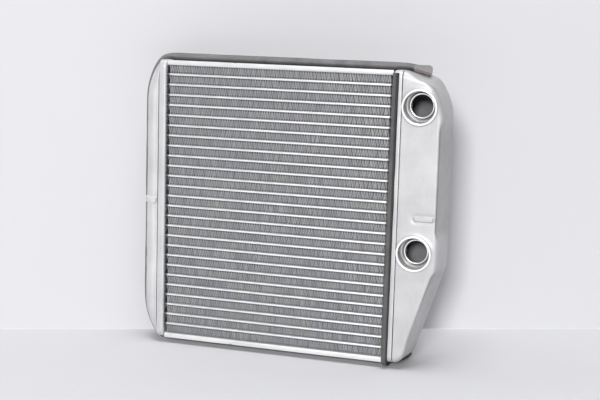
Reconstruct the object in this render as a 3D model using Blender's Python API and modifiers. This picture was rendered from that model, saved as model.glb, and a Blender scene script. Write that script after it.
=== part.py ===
"""Brazed aluminium heater-core radiator for a car cabin.

+X runs along the tubes towards the tank that carries the two ports, -Y is the
side the ports open on, and +Z is up.  The origin is the middle of the base of
the bounding box, under the foam seal.  Units are metres.
"""

import math

import bmesh
import bpy
from mathutils import Vector

# Gap between pieces that touch, and the sharpest turn that is shaded smooth.
GAP = 0.0003
SMOOTH_ANGLE = math.radians(40.0)

# Core: flat tubes with corrugated fins between them.
TUBE_COUNT = 26
TUBE_PITCH = 0.0067
TUBE_HEIGHT = 0.0015
TUBE_WALL = 0.0003
TUBE_END_PAST_HEADER = 0.0012
CORE_DEPTH = 0.026
CORE_WIDTH = 0.1532
FIN_ROW_HEIGHT = TUBE_PITCH - TUBE_HEIGHT
FIN_DEPTH = CORE_DEPTH - 2 * GAP
FIN_END_CLEARANCE = 0.002
FIN_WAVES = 10
FIN_SHEET = 0.0005
FIN_CREST_SHARE = 0.3

# Side plates: channels that close the core at the top and the bottom.
PLATE_SHEET = 0.001
PLATE_FLANGE = 0.0034
FIN_BRAZE_BITE = 0.0001

# Header pans and the tank covers that close them; side is -1 on the left and 1 on the right.
HEADER_BASE = 0.0015
HEADER_SKIRT = 0.001
HEADER_LENGTHS = {-1: 0.0049, 1: 0.0057}
HEADER_CORNER = 0.0045
TANK_DEPTH = 0.029
TANK_WALL = 0.0015
TONGUE_WALL = 0.0012
TONGUE_REACH = 0.0019
TONGUE_BITE = 0.0004
SHOULDER_STEPS = 3
RIB_PROUD = 0.0009
RIB_BITE = 0.0007

# Left tank, the narrow one where the coolant turns back.
LEFT_TANK_LENGTH = 0.0095
LEFT_TANK_ARC = 0.042
LEFT_SHOULDER = 0.006
LEFT_RIB_HEIGHT = 0.0042

# Right tank, the wide one with the ports.
RIGHT_TANK_LENGTH = 0.0277
RIGHT_KNEE_OUT = 0.0176
RIGHT_KNEE_DROP = 0.0044
RIGHT_KNEE_RADIUS = 0.010
RIGHT_TOP_DROP = 0.0185
RIGHT_TOP_RADIUS = 0.040
RIGHT_BEND_Z = -0.031
RIGHT_BEND_RADIUS = 0.025
RIGHT_TAPER = math.radians(18.0)
RIGHT_BOTTOM_CORNER = 0.010
RIGHT_SHOULDER = 0.0045
RIGHT_CORNER_STEPS = 5
RIGHT_RIB_LENGTH = 0.0130
RIGHT_RIB_HEIGHT = 0.0030
BAFFLE_Z = 0.0012
BAFFLE_SHEET = 0.0012
BAFFLE_BITE = 0.0004

# Ports: turned sockets set in the face of the right tank.
PORT_X_FROM_CORE = 0.0943
PORT_HEIGHTS = {"port_upper": 0.0711, "port_lower": -0.0206}
PORT_STEPS = 32
PORT_RIM_RADIUS = 0.0114
PORT_NECK_RADIUS = 0.0106
PORT_CUP_RADIUS = 0.0100
PORT_GROOVE_RADIUS = 0.0087
PORT_COLLAR_RADIUS = 0.0079
PORT_BORE_RADIUS = 0.0070
PORT_STAND = 0.0030
PORT_COLLAR_TOP = -0.0024
PORT_SEAT = -0.0038
PORT_GROOVE = -0.0044
PORT_BASE = -0.0058
PORT_EDGE = 0.0003

# Foam seal round the edge and down the front of the right header.
FOAM_THICKNESS = 0.0037
FOAM_WIDTH = 0.012
FOAM_SETBACK = 0.0085
FOAM_TOP_END_X = 0.0975
FOAM_STRIP_WIDTH = 0.0036
FOAM_STRIP_STAND = 0.0027
FOAM_STRIP_TOP = 0.0915
FOAM_STRIP_DROP = 0.0010

# Places worked out from the sizes above, measured from the core's centre.
HALF_CORE = CORE_WIDTH / 2
HALF_TUBES = (TUBE_COUNT - 1) * TUBE_PITCH / 2
PLATE_INNER = HALF_TUBES + TUBE_HEIGHT / 2 + FIN_ROW_HEIGHT
HALF_HEIGHT = PLATE_INNER + PLATE_FLANGE
MOUTHS = {side: HALF_CORE + length + GAP for side, length in HEADER_LENGTHS.items()}
LEFT_TANK_EDGE = MOUTHS[-1] + LEFT_TANK_LENGTH
RIGHT_TANK_EDGE = MOUTHS[1] + RIGHT_TANK_LENGTH
TANK_FRONT = (CORE_DEPTH - TANK_DEPTH) / 2
TANK_MID_Y = CORE_DEPTH / 2
FOAM_EDGE_Z = HALF_HEIGHT + GAP + FOAM_THICKNESS
FOAM_EDGE_X = LEFT_TANK_EDGE + GAP + FOAM_THICKNESS

# Turns that stand a flat outline up: outline axes to (Y, Z) or to (X, Z).
ALONG_X = (math.pi / 2, 0, math.pi / 2)
ALONG_Y = (math.pi / 2, 0, 0)


def clear_scene():
    for obj in list(bpy.data.objects):
        bpy.data.objects.remove(obj, do_unlink=True)


def add_collection(name):
    collection = bpy.data.collections.new(name)
    bpy.context.scene.collection.children.link(collection)
    return collection


def make_material(name, color, roughness, metallic):
    material = bpy.data.materials.new(name)
    material.use_nodes = True
    shader = material.node_tree.nodes["Principled BSDF"]
    shader.inputs["Base Color"].default_value = (*color, 1.0)
    shader.inputs["Roughness"].default_value = roughness
    shader.inputs["Metallic"].default_value = metallic
    return material


def arc(center, radius, start, end, steps):
    """Points on an arc, with both ends, in degrees."""
    points = []
    for i in range(steps + 1):
        angle = math.radians(start + (end - start) * i / steps)
        points.append((center[0] + radius * math.cos(angle), center[1] + radius * math.sin(angle)))
    return points


def rounded(corners, steps):
    """Closed outline through (x, y, radius) corners, each rounded by an arc."""
    outline = []
    for i, (x, y, radius) in enumerate(corners):
        if radius == 0:
            outline.append((x, y))
            continue
        here = Vector((x, y))
        before = (Vector(corners[i - 1][:2]) - here).normalized()
        after = (Vector(corners[(i + 1) % len(corners)][:2]) - here).normalized()
        half = before.angle(after) / 2
        center = here + (before + after).normalized() * radius / math.sin(half)
        first = here + before * radius / math.tan(half) - center
        last = here + after * radius / math.tan(half) - center
        start = math.degrees(math.atan2(first.y, first.x))
        turn = (math.degrees(math.atan2(last.y, last.x)) - start + 180) % 360 - 180
        outline += arc(center, radius, start, start + turn, steps)
    return outline


def box_outline(width, height, radius, steps):
    w = width / 2
    h = height / 2
    return rounded([(-w, -h, radius), (w, -h, radius), (w, h, radius), (-w, h, radius)], steps)


def stadium(width, height, steps):
    radius = height / 2
    reach = width / 2 - radius
    return arc((reach, 0), radius, -90, 90, steps) + arc((-reach, 0), radius, 90, 270, steps)


def shift(outline, dx, dy):
    return [(x + dx, y + dy) for x, y in outline]


def flat_curve(name, loops, thickness):
    """A flat outline, with its holes, given a thickness."""
    curve = bpy.data.curves.new(name, "CURVE")
    curve.dimensions = "2D"
    curve.fill_mode = "BOTH"
    curve.extrude = thickness / 2
    for loop in loops:
        spline = curve.splines.new("POLY")
        spline.points.add(len(loop) - 1)
        for point, (x, y) in zip(spline.points, loop):
            point.co = (x, y, 0, 1)
        spline.use_cyclic_u = True
    return bpy.data.objects.new(name, curve)


def as_mesh(obj):
    """The same shape as a closed mesh with flat faces left whole."""
    bpy.context.scene.collection.objects.link(obj)
    bpy.context.view_layer.update()
    evaluated = obj.evaluated_get(bpy.context.evaluated_depsgraph_get())
    mesh = bpy.data.meshes.new_from_object(evaluated)
    name = obj.name
    bpy.data.objects.remove(obj, do_unlink=True)
    bm = bmesh.new()
    bm.from_mesh(mesh)
    bmesh.ops.remove_doubles(bm, verts=bm.verts, dist=1e-6)
    bmesh.ops.dissolve_limit(bm, angle_limit=math.radians(0.5), verts=bm.verts, edges=bm.edges)
    bmesh.ops.recalc_face_normals(bm, faces=bm.faces)
    bm.to_mesh(mesh)
    bm.free()
    mesh.shade_smooth()
    mesh.set_sharp_from_angle(angle=SMOOTH_ANGLE)
    return bpy.data.objects.new(name, mesh)


def flat_solid(name, loops, thickness):
    return as_mesh(flat_curve(name, loops, thickness))


def place(obj, collection, parent, location=(0, 0, 0), rotation=(0, 0, 0)):
    collection.objects.link(obj)
    obj.parent = parent
    obj.location = location
    obj.rotation_euler = rotation
    return obj


def hide_cutter(obj):
    obj.hide_render = True
    obj.display_type = "WIRE"
    return obj


def add_boolean(obj, other, operation):
    modifier = obj.modifiers.new(other.name, "BOOLEAN")
    modifier.operation = operation
    modifier.object = other
    modifier.solver = "EXACT"


class Model:
    """The collections, the frame and the materials that every piece shares."""

    def __init__(self):
        self.parts = add_collection("heater_core")
        self.cutters = add_collection("heater_core_cutters")
        self.frame = bpy.data.objects.new("frame_origin", None)
        self.parts.objects.link(self.frame)
        middle_x = (RIGHT_TANK_EDGE - FOAM_EDGE_X) / 2
        front = TANK_FRONT - PORT_STAND
        middle_y = (front + TANK_FRONT + TANK_DEPTH) / 2
        self.frame.location = (-middle_x, -middle_y, FOAM_EDGE_Z)
        self.tube = make_material("tube_aluminium", (0.83, 0.84, 0.85), 0.35, 1.0)
        self.fin = make_material("fin_aluminium", (0.60, 0.61, 0.63), 0.45, 1.0)
        self.tank = make_material("tank_aluminium", (0.78, 0.78, 0.80), 0.55, 1.0)
        self.port = make_material("port_aluminium", (0.85, 0.85, 0.86), 0.25, 1.0)
        self.foam = make_material("foam", (0.17, 0.16, 0.16), 0.95, 0.0)

    def part(self, obj, material, location=(0, 0, 0), rotation=(0, 0, 0)):
        place(obj, self.parts, self.frame, location, rotation)
        obj.data.materials.clear()
        obj.data.materials.append(material)
        return obj

    def cutter(self, obj, location=(0, 0, 0), rotation=(0, 0, 0)):
        return hide_cutter(place(obj, self.cutters, self.frame, location, rotation))


def tube_height(index):
    """Height of a tube's centre, counted down from the top."""
    return HALF_TUBES - index * TUBE_PITCH


def add_tubes(model):
    length = 2 * (HALF_CORE + HEADER_BASE + TUBE_END_PAST_HEADER)
    outside = stadium(CORE_DEPTH, TUBE_HEIGHT, 3)
    inside = stadium(CORE_DEPTH - 2 * TUBE_WALL, TUBE_HEIGHT - 2 * TUBE_WALL, 3)
    pattern = flat_solid("tube_01", [outside, inside], length)
    for index in range(TUBE_COUNT):
        tube = pattern if index == 0 else pattern.copy()
        tube.name = f"tube_{index + 1:02d}"
        model.part(tube, model.tube, (0, TANK_MID_Y, tube_height(index)), ALONG_X)


def fin_outline(height):
    """A corrugated sheet seen from its edge, centred on the origin."""
    length = CORE_WIDTH - 2 * FIN_END_CLEARANCE
    half_wave = length / (2 * FIN_WAVES - 1 + FIN_CREST_SHARE)
    crest = half_wave * FIN_CREST_SHARE
    swing = (height - FIN_SHEET) / 2
    middle = []
    for i in range(2 * FIN_WAVES):
        level = swing if i % 2 == 0 else -swing
        start = i * half_wave - length / 2
        middle.append((start, level))
        middle.append((start + crest, level))
    top = shift(middle, 0, FIN_SHEET / 2)
    bottom = shift(middle, 0, -FIN_SHEET / 2)
    return top + bottom[::-1]


def add_fins(model):
    pattern = flat_solid("fin_01", [fin_outline(FIN_ROW_HEIGHT - 2 * GAP)], FIN_DEPTH)
    for index in range(TUBE_COUNT - 1):
        fin = pattern if index == 0 else pattern.copy()
        fin.name = f"fin_{index + 1:02d}"
        height = tube_height(index) - TUBE_PITCH / 2
        model.part(fin, model.fin, (0, TANK_MID_Y, height), ALONG_Y)


def channel_outline():
    """Side plate section: a base with a flange up each edge."""
    w = CORE_DEPTH / 2
    t = PLATE_SHEET
    h = PLATE_FLANGE
    return [(-w, 0), (w, 0), (w, h), (w - t, h), (w - t, t), (t - w, t), (t - w, h), (-w, h)]


def add_side_plate(model, name, side):
    """side is 1 at the top and -1 at the bottom; the outer fin is brazed on."""
    outline = [(y, side * z) for y, z in channel_outline()]
    plate = flat_solid(name, [outline], CORE_WIDTH - 2 * GAP)
    model.part(plate, model.tank, (0, TANK_MID_Y, side * PLATE_INNER), ALONG_X)
    height = FIN_ROW_HEIGHT - GAP + FIN_BRAZE_BITE
    fin = flat_solid(f"{name}_fin", [fin_outline(height)], FIN_DEPTH)
    level = PLATE_INNER + FIN_BRAZE_BITE - height / 2
    model.cutter(fin, (0, TANK_MID_Y, side * level), ALONG_Y)
    add_boolean(plate, fin, "UNION")


def add_header(model, name, side):
    """A pan with a slot for each tube."""
    length = HEADER_LENGTHS[side]
    outline = box_outline(TANK_DEPTH, 2 * HALF_HEIGHT, HEADER_CORNER, SHOULDER_STEPS)
    pan = flat_solid(name, [outline], length)
    center = side * (HALF_CORE + length / 2)
    model.part(pan, model.tank, (center, TANK_MID_Y, 0), ALONG_X)

    pocket_depth = length - HEADER_BASE + GAP
    corner = HEADER_CORNER - HEADER_SKIRT
    width = TANK_DEPTH - 2 * HEADER_SKIRT
    height = 2 * (HALF_HEIGHT - HEADER_SKIRT)
    inner = box_outline(width, height, corner, SHOULDER_STEPS)
    pocket = flat_solid(f"{name}_pocket", [inner], pocket_depth)
    pocket_center = side * (HALF_CORE + HEADER_BASE + pocket_depth / 2)
    model.cutter(pocket, (pocket_center, TANK_MID_Y, 0), ALONG_X)
    add_boolean(pan, pocket, "DIFFERENCE")

    slot = stadium(CORE_DEPTH + 2 * GAP, TUBE_HEIGHT + 2 * GAP, 3)
    slots = [shift(slot, 0, tube_height(i)) for i in range(TUBE_COUNT)]
    slot_cutter = flat_solid(f"{name}_slots", slots, 2 * HEADER_BASE)
    model.cutter(slot_cutter, (side * (HALF_CORE + HEADER_BASE / 2), TANK_MID_Y, 0), ALONG_X)
    add_boolean(pan, slot_cutter, "DIFFERENCE")


def left_tank_outline():
    """Half-round cover seen from the front, from its top round to its bottom."""
    center_x = LEFT_TANK_ARC - LEFT_TANK_EDGE
    reach = math.acos((LEFT_TANK_ARC - LEFT_TANK_LENGTH) / LEFT_TANK_ARC)
    center_z = HALF_HEIGHT - LEFT_TANK_ARC * math.sin(reach)
    turn = math.degrees(reach)
    top = arc((center_x, center_z), LEFT_TANK_ARC, 180 - turn, 180, 5)
    bottom = arc((center_x, -center_z), LEFT_TANK_ARC, 180, 180 + turn, 5)
    return top + bottom


def right_tank_outline():
    """Wide cover seen from the front, with its cut-away lower corner."""
    edge = RIGHT_TANK_EDGE
    taper = (HALF_HEIGHT + RIGHT_BEND_Z) * math.tan(RIGHT_TAPER)
    corners = [
        (MOUTHS[1], HALF_HEIGHT, 0),
        (MOUTHS[1] + RIGHT_KNEE_OUT, HALF_HEIGHT - RIGHT_KNEE_DROP, RIGHT_KNEE_RADIUS),
        (edge, HALF_HEIGHT - RIGHT_TOP_DROP, RIGHT_TOP_RADIUS),
        (edge, RIGHT_BEND_Z, RIGHT_BEND_RADIUS),
        (edge - taper, -HALF_HEIGHT, RIGHT_BOTTOM_CORNER),
        (MOUTHS[1], -HALF_HEIGHT, 0),
    ]
    return rounded(corners, RIGHT_CORNER_STEPS)


def tank_shell(name, outline, side, shoulder):
    """A drawn cover: the outline given a depth, open at its mouth, with soft shoulders."""
    cover = flat_solid(name, [outline], TANK_DEPTH)
    bm = bmesh.new()
    bm.from_mesh(cover.data)
    mouth_x = side * MOUTHS[side]
    mouth = [f for f in bm.faces if all(abs(v.co.x - mouth_x) < 1e-5 for v in f.verts)]
    bmesh.ops.delete(bm, geom=mouth, context="FACES_ONLY")
    bm.to_mesh(cover.data)
    bm.free()
    bevel = cover.modifiers.new("shoulder", "BEVEL")
    bevel.width = shoulder
    bevel.segments = SHOULDER_STEPS
    bevel.limit_method = "ANGLE"
    bevel.angle_limit = math.radians(60)
    wall = cover.modifiers.new("wall", "SOLIDIFY")
    wall.thickness = TANK_WALL
    wall.offset = -1
    wall.use_even_offset = True
    return cover


def trim_mouth(model, cover, side):
    """Cut the rim of a cover square where its wall slants past the mouth."""
    outline = box_outline(2 * TANK_DEPTH, 3 * HALF_HEIGHT, 0, 1)
    trim = flat_solid(f"{cover.name}_trim", [outline], HEADER_LENGTHS[side])
    center = side * (MOUTHS[side] - HEADER_LENGTHS[side] / 2)
    model.cutter(trim, (center, TANK_MID_Y, 0), ALONG_X)
    add_boolean(cover, trim, "DIFFERENCE")


def add_tongue(model, cover, side):
    """The inner lip of a cover, which sits inside the header's skirt."""
    inset = HEADER_SKIRT + GAP
    loops = []
    for step in (inset, inset + TONGUE_WALL):
        width = TANK_DEPTH - 2 * step
        height = 2 * (HALF_HEIGHT - step)
        loops.append(box_outline(width, height, HEADER_CORNER - step, SHOULDER_STEPS))
    length = TONGUE_REACH + GAP + TONGUE_BITE
    tongue = flat_solid(f"{cover.name}_tongue", loops, length)
    center = side * (MOUTHS[side] + TONGUE_BITE - length / 2)
    model.cutter(tongue, (center, TANK_MID_Y, 0), ALONG_X)
    add_boolean(cover, tongue, "UNION")


def add_left_rib(model, cover):
    """A raised band round the front shoulder of the left cover, at mid height."""
    front = -TANK_DEPTH / 2
    start = -(MOUTHS[-1] + GAP)
    end_y = FOAM_SETBACK - 2 * GAP - TANK_MID_Y
    outline = []
    for lift in (RIB_PROUD, -RIB_BITE):
        corner = (-(LEFT_TANK_EDGE + lift), front - lift, LEFT_SHOULDER + lift)
        side = rounded([(start, front - lift, 0), corner, (corner[0], end_y, 0)], SHOULDER_STEPS)
        outline += side if lift > 0 else side[::-1]
    band = flat_solid("left_rib", [outline], LEFT_RIB_HEIGHT)
    model.cutter(band, (0, TANK_MID_Y, 0))
    add_boolean(cover, band, "UNION")


def add_right_rib(model, cover):
    """A raised bar on the right cover's face, where the baffle is crimped in."""
    outline = stadium(RIGHT_RIB_LENGTH, RIGHT_RIB_HEIGHT, 4)
    bar = flat_solid("right_rib", [outline], RIB_PROUD + RIB_BITE)
    center_x = RIGHT_TANK_EDGE - RIGHT_SHOULDER - RIGHT_RIB_LENGTH / 2
    center_y = TANK_FRONT - (RIB_PROUD - RIB_BITE) / 2
    model.cutter(bar, (center_x, center_y, BAFFLE_Z), ALONG_Y)
    add_boolean(cover, bar, "UNION")


def add_baffle(model, cover):
    """The wall inside the right tank that keeps the two coolant passes apart."""
    start = HALF_CORE + HEADER_BASE + GAP
    end = RIGHT_TANK_EDGE - TANK_WALL + BAFFLE_BITE
    step = MOUTHS[1] + TONGUE_BITE / 2
    narrow = CORE_DEPTH / 2 - GAP
    wide = TANK_DEPTH / 2 - TANK_WALL + BAFFLE_BITE
    corner = RIGHT_SHOULDER - TANK_WALL + BAFFLE_BITE
    corners = [
        (start, -narrow, 0),
        (step, -narrow, 0),
        (step, -wide, 0),
        (end, -wide, corner),
        (end, wide, corner),
        (step, wide, 0),
        (step, narrow, 0),
        (start, narrow, 0),
    ]
    baffle = flat_solid("baffle", [rounded(corners, SHOULDER_STEPS)], BAFFLE_SHEET)
    model.cutter(baffle, (0, TANK_MID_Y, BAFFLE_Z))
    add_boolean(cover, baffle, "UNION")


def add_left_tank(model):
    cover = tank_shell("tank_left", left_tank_outline(), -1, LEFT_SHOULDER)
    model.part(cover, model.tank, (0, TANK_MID_Y, 0), ALONG_Y)
    trim_mouth(model, cover, -1)
    add_tongue(model, cover, -1)
    add_left_rib(model, cover)


def add_port_holes(model, cover):
    hole = arc((0, 0), PORT_NECK_RADIUS + GAP, 0, 360, PORT_STEPS)[:-1]
    for name, height in PORT_HEIGHTS.items():
        cutter = flat_solid(f"{name}_hole", [hole], 4 * TANK_WALL)
        model.cutter(cutter, (PORT_X_FROM_CORE, TANK_FRONT, height), ALONG_Y)
        add_boolean(cover, cutter, "DIFFERENCE")


def add_right_tank(model):
    cover = tank_shell("tank_right", right_tank_outline(), 1, RIGHT_SHOULDER)
    model.part(cover, model.tank, (0, TANK_MID_Y, 0), ALONG_Y)
    add_port_holes(model, cover)
    add_right_rib(model, cover)
    trim_mouth(model, cover, 1)
    add_baffle(model, cover)
    add_tongue(model, cover, 1)


def port_profile():
    """Radius and height round the wall of a port, height counted out from the tank's face."""
    top = PORT_STAND
    return [
        (PORT_CUP_RADIUS + PORT_EDGE, top),
        (PORT_RIM_RADIUS - PORT_EDGE, top),
        (PORT_RIM_RADIUS, top - PORT_EDGE),
        (PORT_RIM_RADIUS, GAP),
        (PORT_NECK_RADIUS, GAP),
        (PORT_NECK_RADIUS, PORT_BASE),
        (PORT_BORE_RADIUS, PORT_BASE),
        (PORT_BORE_RADIUS, PORT_COLLAR_TOP - PORT_EDGE),
        (PORT_BORE_RADIUS + PORT_EDGE, PORT_COLLAR_TOP),
        (PORT_COLLAR_RADIUS, PORT_COLLAR_TOP),
        (PORT_COLLAR_RADIUS, PORT_GROOVE),
        (PORT_GROOVE_RADIUS, PORT_GROOVE),
        (PORT_GROOVE_RADIUS, PORT_SEAT),
        (PORT_CUP_RADIUS, PORT_SEAT),
        (PORT_CUP_RADIUS, top - PORT_EDGE),
    ]


def add_port(model, name, height):
    profile = port_profile()
    mesh = bpy.data.meshes.new(name)
    edges = [(i, (i + 1) % len(profile)) for i in range(len(profile))]
    mesh.from_pydata([(r, 0, z) for r, z in profile], edges, [])
    port = bpy.data.objects.new(name, mesh)
    model.part(port, model.port, (PORT_X_FROM_CORE, TANK_FRONT, height), ALONG_Y)
    screw = port.modifiers.new("turn", "SCREW")
    screw.steps = PORT_STEPS
    screw.render_steps = PORT_STEPS
    screw.use_merge_vertices = True
    screw.merge_threshold = 0.00001


def offset_path(path, distance):
    """A path moved to its left by a distance, with mitred corners."""
    moved = []
    for i, point in enumerate(path):
        here = Vector(point)
        before = here - Vector(path[i - 1]) if i > 0 else Vector(path[1]) - here
        after = Vector(path[i + 1]) - here if i < len(path) - 1 else before
        before.normalize()
        after.normalize()
        along = (before + after).normalized()
        reach = distance / max(along.dot(after), 0.5)
        moved.append((here.x - along.y * reach, here.y + along.x * reach))
    return moved


def seal_path():
    """The edge that the foam follows: over the top, round the left tank and back underneath."""
    right = right_tank_outline()
    top = [p for p in right if p[1] > 0 and p[0] < FOAM_TOP_END_X]
    bottom = [p for p in right if p[1] < -HALF_HEIGHT + RIGHT_BOTTOM_CORNER / 2]
    return bottom + left_tank_outline()[::-1] + top


def add_foam_fill(model, seal, side):
    """The thicker middle of the seal, which beds down into a side plate's channel."""
    low = PLATE_INNER + PLATE_SHEET + GAP
    high = HALF_HEIGHT + GAP + FOAM_THICKNESS / 2
    outline = box_outline(CORE_WIDTH - 2 * GAP, high - low, 0, 1)
    fill = flat_solid(f"foam_fill_{side}", [outline], FOAM_WIDTH)
    center_y = FOAM_SETBACK + FOAM_WIDTH / 2
    model.cutter(fill, (0, center_y, side * (low + high) / 2), ALONG_Y)
    add_boolean(seal, fill, "UNION")


def add_foam_strip(model, seal):
    """The front strip on the right header, with its foot tucked back under the header."""
    back = TANK_FRONT - GAP
    front = back - FOAM_STRIP_STAND
    under = -HALF_HEIGHT - GAP
    foot = FOAM_SETBACK + FOAM_WIDTH / 2
    outline = [
        (front, -HALF_HEIGHT - FOAM_STRIP_DROP),
        (FOAM_SETBACK, -FOAM_EDGE_Z),
        (foot, -FOAM_EDGE_Z),
        (foot, under),
        (back, under),
        (back, FOAM_STRIP_TOP),
        (front, FOAM_STRIP_TOP),
    ]
    strip = flat_solid("foam_strip", [outline], FOAM_STRIP_WIDTH)
    center_x = HALF_CORE + FOAM_STRIP_WIDTH / 2 - GAP
    model.cutter(strip, (center_x, 0, 0), ALONG_X)
    add_boolean(seal, strip, "UNION")


def add_foam(model):
    path = seal_path()
    inner = offset_path(path, GAP)
    outer = offset_path(path, GAP + FOAM_THICKNESS)
    seal = flat_solid("foam_seal", [outer + inner[::-1]], FOAM_WIDTH)
    center = FOAM_SETBACK + FOAM_WIDTH / 2
    model.part(seal, model.foam, (0, center, 0), ALONG_Y)
    add_foam_fill(model, seal, 1)
    add_foam_fill(model, seal, -1)
    add_foam_strip(model, seal)


def build():
    clear_scene()
    model = Model()
    add_tubes(model)
    add_fins(model)
    add_side_plate(model, "side_plate_top", 1)
    add_side_plate(model, "side_plate_bottom", -1)
    add_header(model, "header_left", -1)
    add_header(model, "header_right", 1)
    add_left_tank(model)
    add_right_tank(model)
    for name, height in PORT_HEIGHTS.items():
        add_port(model, name, height)
    add_foam(model)


build()
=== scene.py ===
"""Looks of a brazed aluminium heater core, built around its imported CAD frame.

Every piece is placed from the boxes of the CAD nodes.  +X runs along the tubes
towards the tank with the ports, -Y is the side that the ports open on, and +Z
is up.  Units are metres.
"""

from math import acos, atan2, cos, degrees, exp, pi, radians, sin, tan

import bmesh
import bpy
import numpy as np
from mathutils import Matrix, Vector, noise
from mathutils.geometry import delaunay_2d_cdt


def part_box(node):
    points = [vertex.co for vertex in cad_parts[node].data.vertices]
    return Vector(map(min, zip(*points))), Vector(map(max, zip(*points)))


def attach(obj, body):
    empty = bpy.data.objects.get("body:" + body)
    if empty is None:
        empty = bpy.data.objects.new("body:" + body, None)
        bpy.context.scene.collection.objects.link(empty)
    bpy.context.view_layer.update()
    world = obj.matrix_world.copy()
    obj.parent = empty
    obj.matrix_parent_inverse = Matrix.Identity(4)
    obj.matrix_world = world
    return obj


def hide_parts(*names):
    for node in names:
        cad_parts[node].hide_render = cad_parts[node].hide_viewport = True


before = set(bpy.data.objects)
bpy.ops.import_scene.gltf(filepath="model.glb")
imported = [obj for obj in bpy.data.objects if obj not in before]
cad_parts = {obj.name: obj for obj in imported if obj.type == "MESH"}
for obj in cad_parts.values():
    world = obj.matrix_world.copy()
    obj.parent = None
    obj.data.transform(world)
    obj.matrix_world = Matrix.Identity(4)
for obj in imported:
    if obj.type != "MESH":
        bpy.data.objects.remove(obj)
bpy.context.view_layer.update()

MM = 0.001
BODY = "root"
# Angle in degrees past which an edge is drawn sharp, for each slot.
SHARP_ANGLES = {"fin": 50, "tube": 60, "plate": 40, "header": 40, "tank": 40, "port": 50, "foam": 50}

# Camera and stage.
CAMERA_PLACE = (0.2701, -0.7990, 0.2322)
CAMERA_AZIMUTH = radians(18.245)
CAMERA_ELEVATION = radians(8.789)
CAMERA_ROLL = radians(1.63)
CAMERA_LENS = 78.4
CAMERA_SENSOR = 36.0
CAMERA_SHIFT = (-0.5 / 600, 0.75 / 600)
WALL_POINT = (101.4 * MM, 113.5 * MM)
WALL_TURN = radians(24.8)
STAGE_REACH = 3.0
COVE_RADIUS = 0.5 * MM
COVE_STEPS = 12
WORLD_COLOUR = (0.96, 0.97, 1.0, 1.0)
WORLD_STRENGTH = 0.04
# Name, azimuth and elevation in degrees, distance and size in metres, power in watts.
LIGHTS = [("key", 8, 17, 6, 1.1, 302), ("top", 12, 78, 3.6, 1.8, 86)]

# Fins.
FIN_WAVES = 88
FIN_SHEET = 0.15 * MM
FIN_END_CLEARANCE = 1.5 * MM
FIN_DEPTH_CLEARANCE = 0.3 * MM
CREST_HALF_WIDTH = 0.19 * MM
CREST_DROP = 0.20 * MM
LOUVRES = 2
LOUVRE_START = 0.6 * MM
LOUVRE_WIDTH = 1.0 * MM
LOUVRE_SLIT = 0.06 * MM
LOUVRE_TILT = 0.27 * MM
LOUVRE_TURNS = (0.6, 1.2)
LOUVRE_HEIGHT_SHARE = 0.66
CREST_JITTER = 0.10
# Painted shade on the fins: the height share where the crest shade starts and is full, then the depths
# back from the front edge where each shade starts and is full.
FIN_CORNER = (0.40, 0.80)
FIN_CORNER_SHADE_DEPTH = (0.05 * MM, 0.45 * MM)
FIN_DEEP_SHADE_DEPTH = (1.4 * MM, 4.5 * MM)
BENT_DEPTH = 2.5 * MM
# Places where fins are pushed over: row counted from the top, share of the length, push, spread.
BENT_FINS = [
    (0, 0.075, 0.55 * MM, 1.2 * MM),
    (0, 0.115, -0.45 * MM, 1.0 * MM),
    (0, 0.955, 0.60 * MM, 1.0 * MM),
    (25, 0.375, 0.40 * MM, 1.5 * MM),
    (26, 0.440, 0.60 * MM, 1.0 * MM),
    (24, 0.950, -0.50 * MM, 1.2 * MM),
    (26, 0.860, 0.45 * MM, 1.4 * MM),
]

# Tubes, side plates and headers.
TUBES = 26
TUBE_WALL = 0.3 * MM
TUBE_NOSE_STEPS = 12
TUBE_END_SHADE = 2.2 * MM
PLATE_SHEET = 1.0 * MM
PLATE_FLANGE = 3.4 * MM
PLATE_BEND = 1.2 * MM
PLATE_TIP = 0.25 * MM
PLATE_WEAR = 0.05 * MM
PLATE_LEAN = 0.07 * MM
PLATE_STATION = 1.5 * MM
BOTTOM_PLATE_SAG = 0.4 * MM
# Nicks in a flange's tip: share of the length, depth, spread.
TOP_NICK = (0.31, 0.25 * MM, 0.6 * MM)
BOTTOM_NICK = (0.315, 0.9 * MM, 0.35 * MM)
HEADER_SHEET = 1.0 * MM
HEADER_CORNER = 4.5 * MM
HEADER_BEND = 1.3 * MM
HEADER_BEND_STEPS = 6
HEADER_CORNER_STEPS = 8
HEADER_STATION = 3.0 * MM
# The worn rim of a header, as (inset, distance before the edge).
HEADER_RIM = [(0.0, 0.6 * MM), (0.03 * MM, 0.3 * MM), (0.10 * MM, 0.1 * MM), (0.22 * MM, 0)]
TUBE_HEIGHT = 1.5 * MM
SLOT_CLEARANCE = 0.03 * MM
SLOT_NOSE_STEPS = 6

# Tank covers.
GAP = 0.3 * MM
COVER_SHEET = 1.5 * MM
COVER_STATION = 1.0 * MM
MOUTH_STATIONS = (0.08 * MM, 0.18 * MM, 0.32 * MM, 0.55 * MM, 1.4 * MM)
FILL_CLEARANCE = 0.25 * MM
# Unevenness of the covers and of their front bends: scale, height, seed.
COVER_WAVES = (22 * MM, 0.10 * MM, 3)
BEND_WAVES = (6 * MM, 0.14 * MM, 5)
LEFT_ARC = 42 * MM
LEFT_SHOULDER = 6 * MM
LEFT_LIP = (2.0 * MM, 0.5 * MM)
LEFT_RIB_HEIGHT = 4.2 * MM
LEFT_RIB_PROUD = 0.9 * MM
RIGHT_KNEE_OUT = 17.6 * MM
RIGHT_KNEE_DROP = 4.4 * MM
RIGHT_KNEE_RADIUS = 10 * MM
RIGHT_TOP_DROP = 18.5 * MM
RIGHT_TOP_RADIUS = 40 * MM
RIGHT_BEND_ABOVE_BASE = 62.1 * MM
RIGHT_BEND_RADIUS = 25 * MM
RIGHT_TAPER = radians(18.0)
RIGHT_BOTTOM_CORNER = 10 * MM
RIGHT_SHOULDER = 4.5 * MM
RIGHT_EDGE_RADIUS = 1.5 * MM
RIGHT_DRAFT = radians(13)
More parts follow.
